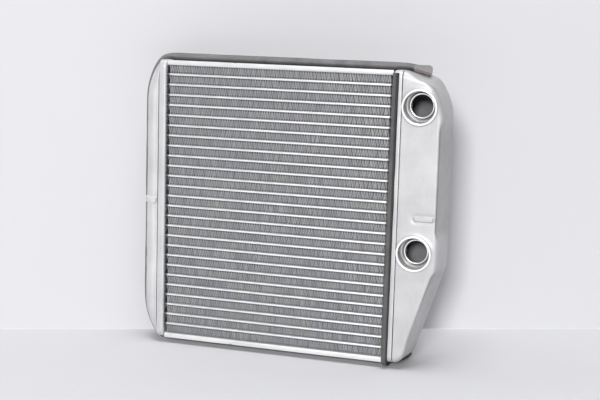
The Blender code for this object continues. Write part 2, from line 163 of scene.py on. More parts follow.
SECTION_CHANGE = (1 * MM, 12 * MM)
PORT_SHOULDER = (9 * MM, 15 * MM)
RIGHT_LIP = (0.45 * MM, 0.4 * MM)
RIGHT_RIB_LENGTH = 13 * MM
RIGHT_RIB_HEIGHT = 3 * MM
RIGHT_RIB_PROUD = 0.9 * MM
RIGHT_RIB_DENT = 0.22 * MM
RIGHT_RIB_ABOVE_MIDDLE = 1.2 * MM
SHOULDER_STEPS = 10

# Ports, measured out from the face of the tank.
PORT_STEPS = 96
PORT_RINGS = (0, 0.8 * MM, 1.2 * MM, 1.6 * MM, 2.2 * MM, 3.0 * MM)
PORT_RIM_RADIUS = 11.4 * MM
PORT_CUP_RADIUS = 10.0 * MM
PORT_GROOVE_RADIUS = 8.7 * MM
PORT_COLLAR_RADIUS = 7.9 * MM
PORT_BORE_RADIUS = 7.0 * MM
PORT_NECK_RADIUS = 10.6 * MM
PORT_STAND = 3.0 * MM
PORT_COLLAR_TOP = -2.4 * MM
PORT_SEAT = -3.8 * MM
PORT_GROOVE = -4.4 * MM
PORT_BASE = -5.8 * MM
PORT_LEAN = (0.65 * MM, 0.75 * MM)
PORT_FILLET = (0.5 * MM, 0.7 * MM)

# Foam.
FOAM_THICKNESS = 3.7 * MM
FOAM_WIDTH = 12 * MM
FOAM_SETBACK = 8.5 * MM
FOAM_SWELL = 0.05
FOAM_SWAY = 0.35 * MM
FOAM_STATION = 1.2 * MM
FOAM_END_TILT = radians(12)
FOAM_END_SLANT = 0.30
FOAM_EASE = 9
FOAM_TAPER = 0.7
FOAM_LOW_END = 7.5 * MM
FOAM_END_REACH = 0.6 * MM
STRIP_WIDTH = 3.6 * MM
STRIP_STAND = 2.7 * MM
STRIP_LEAN = 0.8 * MM
STRIP_SWELL = 0.06
STRIP_SWAY = 0.25 * MM
STRIP_TOP_DROP = 5.5 * MM
STRIP_FOOT = 32 * MM
STRIP_FOOT_STEPS = 60
STRIP_SHIFT = 0.3 * MM
# Colour of the painted shade on the foam, the tape's paler free end, then each foam's dark, light and warm
# colours.
FOAM_SHADE = (0.02, 0.02, 0.02)
FREE_END_COLOUR = (0.29, 0.265, 0.265)
TAPE_COLOURS = ((0.08, 0.078, 0.08), (0.215, 0.21, 0.213), (0.235, 0.215, 0.218))
STRIP_COLOURS = ((0.055, 0.055, 0.055), (0.13, 0.128, 0.126), (0.13, 0.115, 0.10))


def middle(node):
    """Middle of a node's box."""
    low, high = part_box(node)
    return (low.x + high.x) / 2, (low.y + high.y) / 2, (low.z + high.z) / 2


# The core's own places.
LEFT_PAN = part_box("header_left")
RIGHT_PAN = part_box("header_right")
CORE_LEFT = LEFT_PAN[1].x
CORE_RIGHT = RIGHT_PAN[0].x
CORE_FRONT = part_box("tube_01")[0].y
CORE_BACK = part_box("tube_01")[1].y
CORE_TOP = LEFT_PAN[1].z
CORE_BASE = LEFT_PAN[0].z
CORE_MIDDLE = (CORE_TOP + CORE_BASE) / 2
CORE_HALF = (CORE_TOP - CORE_BASE) / 2
CORE_MIDDLE_Y = (CORE_FRONT + CORE_BACK) / 2
TANK_FRONT = LEFT_PAN[0].y
TANK_BACK = LEFT_PAN[1].y
LEFT_MOUTH = LEFT_PAN[0].x - GAP
RIGHT_MOUTH = RIGHT_PAN[1].x + GAP
LEFT_REACH = LEFT_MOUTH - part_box("tank_left")[0].x - LEFT_RIB_PROUD
RIGHT_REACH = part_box("tank_right")[1].x - RIGHT_MOUTH
RIGHT_RIB_MIDDLE = RIGHT_REACH - RIGHT_SHOULDER - RIGHT_RIB_LENGTH / 2
FREE_END = RIGHT_MOUTH + 4 * MM
FOAM_TILT_RANGE = (RIGHT_MOUTH + 2 * MM, RIGHT_MOUTH + 14 * MM)
# Heights from the core's middle over which the painted shade on the tape fades out, full next to the side
# plates.
TAPE_SHADE_BAND = (CORE_HALF + 0.2 * MM, CORE_HALF + 2.4 * MM)
# Centre of each port on the tank's face, as (x, z).
PORTS = {port: middle(port)[::2] for port in ("port_upper", "port_lower")}

rng = np.random.default_rng(11)


# ---------------- mesh helpers

def signed_volume(verts, faces):
    """Volume of a closed mesh, negative when its faces point inwards."""
    total = 0.0
    for count in {len(f) for f in faces}:
        corners = verts[np.array([f for f in faces if len(f) == count])]
        for i in range(1, count - 1):
            total += np.einsum("ij,ij->", corners[:, 0], np.cross(corners[:, i], corners[:, i + 1]))
    return total / 6


def new_object(name, data):
    made = bpy.data.objects.new(name, data)
    bpy.context.scene.collection.objects.link(made)
    return made


def add_piece(name, mesh, material, slot, replaced):
    """A finished mesh as a piece that rides on the frame."""
    mesh.shade_smooth()
    mesh.set_sharp_from_angle(angle=radians(SHARP_ANGLES[slot]))
    mesh.materials.append(material)
    piece = new_object(name, mesh)
    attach(piece, BODY)
    if replaced:
        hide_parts(*replaced)
    return piece


def new_mesh(name, verts, faces):
    mesh = bpy.data.meshes.new(name)
    mesh.from_pydata(verts.tolist(), [], faces)
    mesh.update()
    return mesh


def closed_mesh(name, verts, faces):
    """A mesh from corners and faces, turned to face out."""
    if signed_volume(verts, faces) < 0:
        faces = [f[::-1] for f in faces]
    return new_mesh(name, verts, faces)


def grid_faces(rows, columns, start=0, closed=False):
    """Quads over rows by columns of corners; closed joins the last column to the first."""
    faces = []
    last = columns if closed else columns - 1
    for r in range(rows - 1):
        for c in range(last):
            after = (c + 1) % columns
            a = start + r * columns
            b = a + columns
            faces.append((a + c, a + after, b + after, b + c))
    return faces


def solid(name, loops, ring=False):
    """A solid through closed loops, capped at both ends or, as a ring, back to its first loop."""
    loops = np.asarray(loops, float)
    rows, columns = loops.shape[:2]
    faces = grid_faces(rows + ring, columns, closed=True)
    if ring:
        faces = [tuple(i % (rows * columns) for i in f) for f in faces]
    else:
        faces.append(tuple(range(columns))[::-1])
        faces.append(tuple((rows - 1) * columns + i for i in range(columns)))
    return closed_mesh(name, loops.reshape(-1, 3), faces)


def arc(center, radius, start, end, steps):
    """Points on an arc, both ends included, in degrees."""
    angles = np.radians(np.linspace(start, end, steps + 1))
    return [(center[0] + radius * cos(a), center[1] + radius * sin(a)) for a in angles]


def rounded(corners, step):
    """Line through (x, y, radius) corners, with arcs drawn in chords of about one step."""
    line = []
    for i, (x, y, radius) in enumerate(corners):
        if radius == 0:
            line.append((x, y))
            continue
        here = Vector((x, y))
        before = (Vector(corners[i - 1][:2]) - here).normalized()
        after = (Vector(corners[(i + 1) % len(corners)][:2]) - here).normalized()
        half = before.angle(after) / 2
        center = here + (before + after).normalized() * radius / sin(half)
        first = here + before * radius / tan(half) - center
        last = here + after * radius / tan(half) - center
        start = degrees(atan2(first.y, first.x))
        turn = (degrees(atan2(last.y, last.x)) - start + 180) % 360 - 180
        steps = max(4, int(abs(radians(turn)) * radius / step))
        line += arc(center, radius, start, start + turn, steps)
    return line


def box_loop(width, height, radius):
    """A header's outline: a rounded rectangle round the origin, with points along its straight runs."""
    w = width / 2 - radius
    h = height / 2 - radius
    loop = []
    for cx, cy, start in ((w, h, 0), (-w, h, 90), (-w, -h, 180), (w, -h, 270)):
        corner = arc((cx, cy), radius, start, start + 90, HEADER_CORNER_STEPS)
        run = 2 * w if start in (0, 180) else 2 * h
        end = corner[-1]
        steps = max(1, round(run / HEADER_STATION))
        direction = radians(start + 180)
        dx, dy = cos(direction) * run, sin(direction) * run
        loop += corner + [(end[0] + dx * i / steps, end[1] + dy * i / steps) for i in range(1, steps)]
    return np.array(loop)


def stadium(width, height, steps):
    """Closed round-ended slot, long along the first axis."""
    radius = height / 2
    reach = width / 2 - radius
    return arc((reach, 0), radius, -90, 90, steps) + arc((-reach, 0), radius, 90, 270, steps)


def offset_line(line, distance):
    """A line moved to the right of its own direction."""
    edges = np.diff(line, axis=0)
    edges /= np.linalg.norm(edges, axis=1)[:, None]
    along = np.concatenate([edges[:1], edges[:-1] + edges[1:], edges[-1:]])
    along /= np.linalg.norm(along, axis=1)[:, None]
    normals = np.stack([along[:, 1], -along[:, 0]], 1)
    reach = np.ones(len(line))
    reach[1:-1] = 1 / np.maximum(np.einsum("ij,ij->i", along[1:-1], edges[1:]), 0.5)
    return line + normals * (distance * reach)[:, None]


def clip_at_mouth(line):
    """The part of a line past the mouth, with its ends on the mouth."""
    inside = np.flatnonzero(line[:, 0] > 1e-9)
    first, last = inside[0], inside[-1]
    clipped = list(line[first:last + 1])
    for end, neighbour, where in ((first, first - 1, 0), (last, last + 1, len(clipped) + 1)):
        if 0 <= neighbour < len(line):
            a, b = line[end], line[neighbour]
            cut = a + (b - a) * a[0] / (a[0] - b[0])
            clipped.insert(where, cut)
    return np.array(clipped)


def lengths_along(line):
    """Length of a line up to each of its points."""
    return np.concatenate([[0], np.cumsum(np.linalg.norm(np.diff(line, axis=0), axis=1))])


def left_normals(line):
    """Unit vectors square to a line, on the left of its direction."""
    along = np.gradient(line, axis=0)
    along /= np.linalg.norm(along, axis=1)[:, None]
    return np.stack([-along[:, 1], along[:, 0]], 1)


def resample(line, shares):
    """Points at the given shares of a line's length."""
    lengths = lengths_along(line)
    at = np.asarray(shares) * lengths[-1]
    return np.stack([np.interp(at, lengths, line[:, i]) for i in range(2)], 1)


def smoothstep(edge0, edge1, x):
    t = np.clip((x - edge0) / (edge1 - edge0), 0, 1)
    return t * t * (3 - 2 * t)


def inside_polygon(points, polygon):
    """Which points lie inside a closed polygon."""
    x, y = points[:, 0], points[:, 1]
    inside = np.zeros(len(points), bool)
    for (x0, y0), (x1, y1) in zip(polygon, np.roll(polygon, -1, axis=0)):
        if y0 == y1:
            continue
        crosses = (y0 > y) != (y1 > y)
        inside ^= crosses & (x < (x1 - x0) * (y - y0) / (y1 - y0) + x0)
    return inside


def distance_to_line(points, line):
    """Distance from each point to the nearest corner of a finely drawn line."""
    return np.sqrt(((points[:, None] - line[None]) ** 2).sum(2)).min(1)


def fill_sheet(boundary, holes, inner):
    """Triangles over a flat sheet with holes; returns its points and its faces."""
    def on_sheet(points):
        inside = inside_polygon(points, boundary)
        for hole in holes:
            inside &= ~inside_polygon(points, hole)
        return inside

    edges = []
    keep = on_sheet(inner)
    start = 0
    for loop in (boundary, *holes):
        edges += [(start + i, start + (i + 1) % len(loop)) for i in range(len(loop))]
        keep &= distance_to_line(inner, loop) > FILL_CLEARANCE
        start += len(loop)
    flat = np.concatenate([boundary, *holes, inner[keep]]) / MM
    result = delaunay_2d_cdt([Vector(p) for p in flat], edges, [], 1, 1e-6)
    made = np.array([tuple(v) for v in result[0]]) * MM
    faces = np.array(result[2])
    return made, faces[on_sheet(made[faces].mean(1))]


def grid_points(x0, x1, y0, y1, step):
    xs = np.arange(x0, x1 + step / 2, step)
    ys = np.arange(y0, y1 + step / 2, step)
    return np.stack(np.meshgrid(xs, ys), -1).reshape(-1, 2)


def waviness(points, scale, amount, seed):
    """Smooth random height at each point, for sheet that isn't quite flat."""
    shift = Vector((seed * 13.7, seed * 5.1, seed * 2.3))
    return np.array([noise.noise(Vector(p) / scale + shift) for p in points]) * amount


# ---------------- materials

class Nodes:
    """A short way to build a material's node tree."""

    def __init__(self, name):
        self.material = bpy.data.materials.new(name)
        self.material.use_nodes = True
        self.tree = self.material.node_tree
        self.shader = self.tree.nodes["Principled BSDF"]
        self.place = self.node("ShaderNodeTexCoord", {})["Object"]

    def put(self, socket, value):
        """Give a socket another node's output, a number, a vector or a colour."""
        if isinstance(value, bpy.types.NodeSocket):
            self.tree.links.new(value, socket)
        elif socket.type == "RGBA":
            socket.default_value = (*value, 1.0)
        else:
            socket.default_value = value

    def node(self, kind, inputs, **settings):
        """The outputs of a new node with these inputs and settings."""
        made = self.tree.nodes.new(kind)
        for key, value in settings.items():
            setattr(made, key, value)
        for key, value in inputs.items():
            self.put(made.inputs[key], value)
        return made.outputs

    def scaled(self, scale):
        """The object's coordinates stretched by a scale in each direction."""
        return self.node("ShaderNodeMapping", {"Vector": self.place, "Scale": scale})["Vector"]

    def noise(self, scale, detail=3, rough=0.6, stretch=(1, 1, 1)):
        """Noise from 0 to 1, with scale in features per metre."""
        inputs = {"Vector": self.scaled(stretch), "Scale": scale, "Detail": detail, "Roughness": rough}
        return self.node("ShaderNodeTexNoise", inputs)["Fac"]

    def spots(self, scale):
        """Distance to scattered points, with scale in points per metre."""
        inputs = {"Vector": self.scaled((1, 1, 1)), "Scale": scale}
        return self.node("ShaderNodeTexVoronoi", inputs)["Distance"]

    def along(self, axis):
        """The object's own coordinate along one axis."""
        return self.node("ShaderNodeSeparateXYZ", {0: self.place})[axis]

    def from_plane(self, axis, place):
        """Distance along one axis from a plane."""
        return self.math("ABSOLUTE", self.math("SUBTRACT", self.along(axis), place))

    def spread(self, value, low, high, out_low=0.0, out_high=1.0):
        """A value mapped from one range to another and held inside it."""
        inputs = {"Value": value, "From Min": low, "From Max": high, "To Min": out_low, "To Max": out_high}
        return self.node("ShaderNodeMapRange", inputs)["Result"]

    def blend(self, share, first, second):
        """A mix of two colours, each a fixed colour or a socket."""
        return self.node("ShaderNodeMix", {0: share, 6: first, 7: second}, data_type="RGBA")[2]

    def math(self, operation, first, second=0.0):
        return self.node("ShaderNodeMath", {0: first, 1: second}, operation=operation)["Value"]

    def vector(self, operation, first, second=(0, 0, 0)):
        return self.node("ShaderNodeVectorMath", {0: first, 1: second}, operation=operation)

    def bump(self, height, depth, before=None):
        inputs = {"Height": height, "Distance": depth, "Strength": 1.0}
        if before is not None:
            inputs["Normal"] = before
        return self.node("ShaderNodeBump", inputs)["Normal"]

    def finish(self, colour, roughness, normal, metallic):
        inputs = {"Base Color": colour, "Roughness": roughness, "Normal": normal, "Metallic": metallic}
        for key, value in inputs.items():
            self.put(self.shader.inputs[key], value)
        return self.material


def no_marks(n, colour):
    return colour


def sheet_metal(name, dark, light, metallic, rough_low, rough_high, grain, specks, shade_and_marks):
    """Brazed aluminium sheet: cloudy flux bloom, drawing lines, a few dark specks and the painted shade,
    if any, that the given callback adds.
    """
    n = Nodes(name)
    colour = n.blend(n.spread(n.noise(45, 4), 0.35, 0.65), dark, light)
    streaks = n.noise(900, 3, 0.6, grain)
    colour = n.blend(n.spread(streaks, 0.35, 0.7, 0.0, 0.30), colour, light)
    fine = n.noise(2600)
    colour = n.blend(n.spread(fine, 0.4, 0.75, 0.0, 0.18), colour, dark)
    near = n.spread(n.spots(330), 0.02, specks, 1.0, 0.0)
    rare = n.math("MULTIPLY", near, n.spread(n.noise(120, 2, 0.5), 0.62, 0.7))
    colour = shade_and_marks(n, n.blend(rare, colour, (0.12, 0.11, 0.10)))
    roughness = n.spread(n.noise(140, 4), 0.3, 0.7, rough_low, rough_high)
    normal = n.bump(streaks, 0.02 * MM)
    normal = n.bump(fine, 0.012 * MM, normal)
    normal = n.bump(n.noise(220, 2, 0.5), 0.05 * MM, normal)
    return n.finish(colour, roughness, normal, metallic)


def left_painted_shade(n, colour):
    """Painted shade along the groove where the left cover dips to its mouth, stronger in places."""
    near = n.spread(n.from_plane("X", LEFT_MOUTH - 0.8 * MM), 0.3 * MM, 1.6 * MM, 0.3, 0.0)
    uneven = n.spread(n.noise(24, 2, 0.5, (0.01, 0.01, 1)), 0.35, 0.6, 0.25, 1.0)
    return n.blend(n.math("MULTIPLY", near, uneven), colour, (0.12, 0.12, 0.12))


def right_painted_shade(n, colour):
    """Painted shade in the bend between the right cover's face and its outer side, for a dark reflection
    there, and a fainter painted shade down the side, both weaker beside the ports and towards the mouth.
    """
    deep = n.math("SUBTRACT", n.along("Y"), TANK_FRONT)
    fade = n.spread(deep, 1.2 * MM, 3.4 * MM, 1.0, 0.0)
    line = n.math("MULTIPLY", n.spread(deep, 0.3 * MM, 0.9 * MM, 0.0, 0.6), fade)
    side = n.math("MAXIMUM", line, n.spread(deep, 0.8 * MM, 2.0 * MM, 0.0, 0.2))
    outer = n.spread(n.along("X"), RIGHT_MOUTH + 13 * MM, RIGHT_MOUTH + 20 * MM, 0.2, 1.0)
    for _, height in PORTS.values():
        outer = n.math("MULTIPLY", outer, n.spread(n.from_plane("Z", height), *PORT_SHOULDER, 0.25, 1.0))
    return n.blend(n.math("MULTIPLY", side, outer), colour, (0.10, 0.10, 0.10))


# Each sheet's (darker colour, lighter colour, metallic, roughness low and high, grain stretch,
# speck size, and the function that adds its own painted shade, if any).
SHEETS = {
    "plate": ((0.67, 0.67, 0.68), (0.77, 0.77, 0.77), 0.45, 0.38, 0.52, (0.05, 1, 1), 0.05, no_marks),
    "header": ((0.50, 0.50, 0.515), (0.62, 0.62, 0.63), 0.4, 0.42, 0.56, (1, 1, 0.06), 0.12, no_marks),
    # The inner side of pans and covers: dark, as painted shade for the closed inside of the tanks.
    "inside": ((0.10, 0.10, 0.105), (0.20, 0.20, 0.21), 0.5, 0.5, 0.65, (1, 1, 0.06), 0.1, no_marks),
    "left_tank": (
        (0.55, 0.55, 0.56), (0.65, 0.65, 0.655), 0.35, 0.42, 0.58, (1, 1, 0.06), 0.08, left_painted_shade
    ),
    "right_tank": (
        (0.49, 0.49, 0.50), (0.58, 0.58, 0.585), 0.35, 0.42, 0.58, (1, 1, 0.06), 0.08, right_painted_shade
    ),
}


def tube_metal():
    n = Nodes("tube_aluminium")
    along = n.noise(160, 4, 0.6, (1, 1, 6))
    colour = n.blend(n.spread(along, 0.3, 0.7), (0.86, 0.87, 0.90), (0.97, 0.97, 0.97))
    smudge = n.spread(n.noise(700), 0.60, 0.75, 0.0, 0.5)
    colour = n.blend(smudge, colour, (0.55, 0.55, 0.57))
    # Painted shade on each tube in the last few millimetres before a header, full at the header.
    reach = (CORE_RIGHT - CORE_LEFT) / 2
    out = n.from_plane("X", (CORE_LEFT + CORE_RIGHT) / 2)
    end_shade = n.spread(out, reach - TUBE_END_SHADE, reach - 0.7 * TUBE_END_SHADE, 0.0, 0.85)
    colour = n.blend(end_shade, colour, (0.05, 0.05, 0.05))
    roughness = n.spread(n.noise(400), 0.3, 0.7, 0.30, 0.48)
    normal = n.bump(n.noise(1800, 3, 0.6, (0.2, 1, 1)), 0.015 * MM)
    return n.finish(colour, roughness, normal, 0.75)


def fin_metal():
    """Thin fin stock: even grey with faint tints that drift along the rows, darkened by painted shade that
    differs from wave to wave, at the crests by the tubes and deep in the channels.
    """
    n = Nodes("fin_aluminium")
    tint = n.noise(60, 2, 0.5, (1, 1, 2.2))
    colour = n.blend(n.spread(tint, 0.35, 0.65), (0.80, 0.83, 0.88), (0.88, 0.875, 0.86))
    patch = n.spread(n.noise(190, 3, 0.6, (1, 1, 1.6)), 0.35, 0.7, 0.0, 0.45)
    colour = n.blend(patch, colour, (0.70, 0.71, 0.74))
    grain = n.noise(3000, 2, 0.6)
    colour = n.blend(n.spread(grain, 0.45, 0.7, 0.0, 0.35), colour, (0.96, 0.96, 0.97))
    # Painted shade that differs from wave to wave, read from the fin's shade attribute.
    shade = n.node("ShaderNodeAttribute", {}, attribute_name="shade")["Fac"]
    colour = n.blend(n.math("MULTIPLY", shade, 0.4), colour, (0.30, 0.30, 0.31))
    # Painted shade: near black at the crests next to the tubes, and deep inside the channels.
    reach = CORE_MIDDLE_Y - CORE_FRONT - FIN_DEPTH_CLEARANCE
    depth = n.math("SUBTRACT", reach, n.from_plane("Y", CORE_MIDDLE_Y))
    corner = n.node("ShaderNodeAttribute", {}, attribute_name="corner")["Fac"]
    painted_shade = n.math("MULTIPLY", n.spread(depth, *FIN_CORNER_SHADE_DEPTH, 0.0, 0.95), corner)
    painted_shade = n.math("MAXIMUM", painted_shade, n.spread(depth, *FIN_DEEP_SHADE_DEPTH, 0.0, 0.9))
    colour = n.blend(painted_shade, colour, (0.03, 0.03, 0.035))
    roughness = n.spread(n.noise(500), 0.3, 0.7, 0.36, 0.55)
    normal = n.bump(grain, 0.01 * MM)
    return n.finish(colour, roughness, normal, 0.35)


def turned_metal(name, center):
    """Bright turned aluminium with fine tool rings round its own centre; the brightest parts, the rim's
    top and the collar's lip, are a painted highlight, and deeper in the port it has painted shade.
    """
    n = Nodes(name)
    flat = n.vector("MULTIPLY", n.vector("SUBTRACT", n.place, center)[0], (1, 0, 1))[0]
    away = n.vector("LENGTH", flat)["Value"]
    rings = n.node("ShaderNodeTexNoise", {"W": away, "Scale": 5000}, noise_dimensions="1D")["Fac"]
    colour = n.blend(n.spread(n.noise(260), 0.3, 0.7), (0.44, 0.44, 0.44), (0.58, 0.58, 0.575))
    colour = n.blend(n.spread(rings, 0.4, 0.7, 0, 0.35), colour, (0.30, 0.30, 0.30))
    out = n.math("SUBTRACT", TANK_FRONT, n.along("Y"))
    # Painted shade, darker deeper down inside the port.
    deep = n.spread(out, PORT_COLLAR_TOP - 0.5 * MM, PORT_GROOVE, 0.0, 0.9)
    colour = n.blend(deep, colour, (0.10, 0.10, 0.10))
    # Painted highlight on the rim's top and on the collar's lip.
    rim = n.spread(out, PORT_STAND - 1.0 * MM, PORT_STAND - 0.5 * MM)
    collar = n.math("ABSOLUTE", n.math("SUBTRACT", out, PORT_COLLAR_TOP))
    painted_highlight = n.math("MAXIMUM", rim, n.spread(collar, 0.15 * MM, 0.4 * MM, 0.7, 0.0))
    colour = n.blend(painted_highlight, colour, (1.0, 1.0, 1.0))
    roughness = n.spread(n.noise(700), 0.3, 0.7, 0.26, 0.42)
    normal = n.bump(rings, 0.035 * MM)
    return n.finish(colour, roughness, normal, 0.5)


def foam_material(name, dark, light, warm, shade_and_marks):
    """Open-cell foam: dark pores over a cloudy grey, and the painted shade and marks that the given
    callback adds.
    """
    n = Nodes(name)
    colour = n.blend(n.spread(n.noise(110, 4), 0.3, 0.7), dark, light)
    colour = n.blend(n.spread(n.noise(35, 2, 0.5), 0.45, 0.65, 0.0, 0.6), colour, warm)
    pores = n.spots(2600)
    colour = n.blend(n.spread(pores, 0.05, 0.5, 0.0, 0.45), colour, light)
    cells = n.noise(1500, 4, 0.7)
    colour = n.blend(n.spread(cells, 0.55, 0.75, 0.0, 0.5), colour, dark)
    colour = shade_and_marks(n, colour)
    roughness = n.spread(cells, 0.3, 0.7, 0.82, 0.97)
    normal = n.bump(cells, 0.16 * MM)
    normal = n.bump(pores, 0.08 * MM, normal)
    n.shader.inputs["Specular IOR Level"].default_value = 0.25
    return n.finish(colour, roughness, normal, 0.0)


def tape_shade_and_free_end(n, colour):
    """Painted shade along the tape's inner edge on the core, and a paler free end over the right tank."""
    edge = n.spread(n.from_plane("Z", CORE_MIDDLE), *TAPE_SHADE_BAND, 0.8, 0.0)
    edge = n.math("MULTIPLY", edge, n.spread(n.along("X"), LEFT_MOUTH, CORE_LEFT))
    above = n.spread(n.along("Z"), CORE_MIDDLE, CORE_MIDDLE + 1 * MM)
    free = n.math("MULTIPLY", n.spread(n.along("X"), FREE_END, FREE_END + 0.6 * MM), above)
    colour = n.blend(n.math("MULTIPLY", edge, n.math("SUBTRACT", 1.0, free)), colour, FOAM_SHADE)
    return n.blend(n.math("MULTIPLY", free, 0.6), colour, FREE_END_COLOUR)


def strip_painted_shade(n, colour):
    """Painted shade down the strip's side next to the tank, the side turned away from the light."""
    start = CORE_RIGHT + STRIP_WIDTH * 0.62 - STRIP_SHIFT
    return n.blend(n.spread(n.along("X"), start, start + 0.6 * MM, 0.0, 0.7), colour, FOAM_SHADE)


def stage_material():
    n = Nodes("stage_paper")
    colour = n.blend(n.spread(n.noise(3, 2, 0.5), 0.3, 0.7), (0.62, 0.62, 0.64), (0.63, 0.63, 0.648))
    grain = n.noise(1500)
    roughness = n.spread(grain, 0.3, 0.7, 0.65, 0.8)
    normal = n.bump(grain, 0.02 * MM)
    n.shader.inputs["Specular IOR Level"].default_value = 0.2
    return n.finish(colour, roughness, normal, 0.0)


# ---------------- fins and tubes

def fin_stations(depth):
    """Places back from the front edge, each with the louvres' sideways share there."""
    front = [(0.0, 0.0), (LOUVRE_START, 0.0)]
    for i in range(LOUVRES):
        start = LOUVRE_START + LOUVRE_SLIT + i * (LOUVRE_WIDTH + LOUVRE_SLIT)
        front += [(start, -1.0), (start + LOUVRE_WIDTH, 1.0)]
    front.append((front[-1][0] + LOUVRE_SLIT, 0.0))
    return front + [(depth - place, tilt) for place, tilt in reversed(front)]


def fin_line(x0, x1, height):
    """Edge view of one corrugated fin: x, z, louvre share and painted shade at each point, the shade
    differing at random from one half wave to the next.
    """
    halves = 2 * FIN_WAVES
    half = (x1 - x0) / halves
    centers = x0 + (np.arange(halves) + 0.5) * half
    centers[1:-1] += rng.normal(0, CREST_JITTER * half, halves - 2)
    side = np.where(np.arange(halves) % 2 == 0, 1.0, -1.0)
    swing = (height - FIN_SHEET) / 2
    x, z, tilt = np.zeros((3, halves, 5))
    for column, place in enumerate((-1, 0, 1)):
        x[:, column] = centers + place * CREST_HALF_WIDTH
        z[:, column] = side * (swing - abs(place) * CREST_DROP)
    leg_end = np.append(centers[1:], centers[-1] + half) - CREST_HALF_WIDTH
    for column, share in ((3, (1 - LOUVRE_HEIGHT_SHARE) / 2), (4, (1 + LOUVRE_HEIGHT_SHARE) / 2)):
        x[:, column] = x[:, 2] + (leg_end - x[:, 2]) * share
        z[:, column] = z[:, 2] * (1 - 2 * share)
    tilt[:, 3:] = rng.uniform(*LOUVRE_TURNS, halves)[:, None]
    # Painted shade for each half wave, for legs that lean and catch the light differently.
    shade = np.repeat(rng.uniform(0, 1, halves), 5)
    return x.ravel()[:-2], z.ravel()[:-2], tilt.ravel()[:-2], shade[:-2]


def bend_fins(x, z, y, row, x0, x1, height):
    """Sideways push on fins that were knocked over, strongest at the front edge."""
    push = np.zeros_like(x)
    for bent_row, share, amount, spread in BENT_FINS:
        if bent_row == row:
            center = x0 + share * (x1 - x0)
            fall = np.exp(-((x - center) / spread) ** 2) * (1 - (2 * z / height) ** 2)
            push += amount * fall * exp(-y / BENT_DEPTH)
    return push


def add_fin(name, row, low_z, high_z, material, replaced):
    x0 = CORE_LEFT + FIN_END_CLEARANCE
    x1 = CORE_RIGHT - FIN_END_CLEARANCE
    y0 = CORE_FRONT + FIN_DEPTH_CLEARANCE
    height = high_z - low_z
    x, z, tilt, shade = fin_line(x0, x1, height)
    normals = left_normals(np.stack([x, z], 1))
    stations = fin_stations(CORE_BACK - CORE_FRONT - 2 * FIN_DEPTH_CLEARANCE)
    layers = []
    for side in (1, -1):
        skin_x = x - side * normals[:, 0] * FIN_SHEET / 2
        skin_z = z - side * normals[:, 1] * FIN_SHEET / 2
        level = (low_z + high_z) / 2 + skin_z
        for place, share in stations:
            shift = tilt * share * LOUVRE_TILT + bend_fins(x, z, place, row, x0, x1, height)
            layers.append(np.stack([skin_x + shift, np.full_like(x, y0 + place), level], 1))
    rows, columns = len(stations), len(x)
    other = rows * columns
    far, last = columns - 1, other - columns
    faces = grid_faces(rows, columns) + [f[::-1] for f in grid_faces(rows, columns, other)]
    across, back = (0, other, other + 1, 1), (0, columns, columns + other, other)
    for starts, steps, turn in (
        (range(far), across, 1),
        (range(last, last + far), across, -1),
        (range(0, last, columns), back, 1),
        (range(far, last + far, columns), back, -1),
    ):
        faces += [tuple(a + step for step in steps)[::turn] for a in starts]
    mesh = closed_mesh(name, np.concatenate(layers), faces)
    corner = smoothstep(*FIN_CORNER, np.abs(np.tile(z, 2 * rows)) / (height / 2))
    for key, values in (("corner", corner), ("shade", np.tile(shade, 2 * rows))):
        mesh.attributes.new(key, "FLOAT", "POINT").data.foreach_set("value", values)
    return add_piece(name, mesh, material, "fin", replaced)


def add_fins(material):
    for index in range(1, TUBES):
        node = f"fin_{index:02d}"
        low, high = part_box(node)
        add_fin(f"fin_row_{index:02d}", index, low.z - GAP / 2, high.z + GAP / 2, material, [node])
    top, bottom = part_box("side_plate_top"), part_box("side_plate_bottom")
    add_fin("fin_row_top", 0, top[0].z - GAP / 2, top[1].z - PLATE_FLANGE, material, [])
    add_fin("fin_row_bottom", TUBES, bottom[0].z + PLATE_FLANGE, bottom[1].z + GAP / 2, material, [])


def add_tubes(material):
    for index in range(1, TUBES + 1):
        node = f"tube_{index:02d}"
        low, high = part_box(node)
        _, middle_y, middle_z = middle(node)
        loops = []
        for inset, ends in ((0, (low.x, high.x)), (TUBE_WALL, (high.x, low.x))):
            outline = stadium(high.y - low.y - 2 * inset, high.z - low.z - 2 * inset, TUBE_NOSE_STEPS)
            for x in ends:
                loops.append([(x, middle_y + y, middle_z + z) for y, z in outline])
        add_piece(f"flat_tube_{index:02d}", solid(node, loops, ring=True), material, "tube", [node])


# ---------------- side plates

def channel_section():
    """Side plate section with rolled bends: a base, and a flange up each edge."""
    w = (CORE_BACK - CORE_FRONT) / 2
    t = PLATE_SHEET
    inner = PLATE_BEND - t * 0.6
    right = [(w, 0, PLATE_BEND), *((x, PLATE_FLANGE, PLATE_TIP) for x in (w, w - t)), (w - t, t, inner)]
    left = [(-x, y, radius) for x, y, radius in reversed(right)]
    return rounded([left[-1], *right, *left[:-1]], 0.25 * MM)


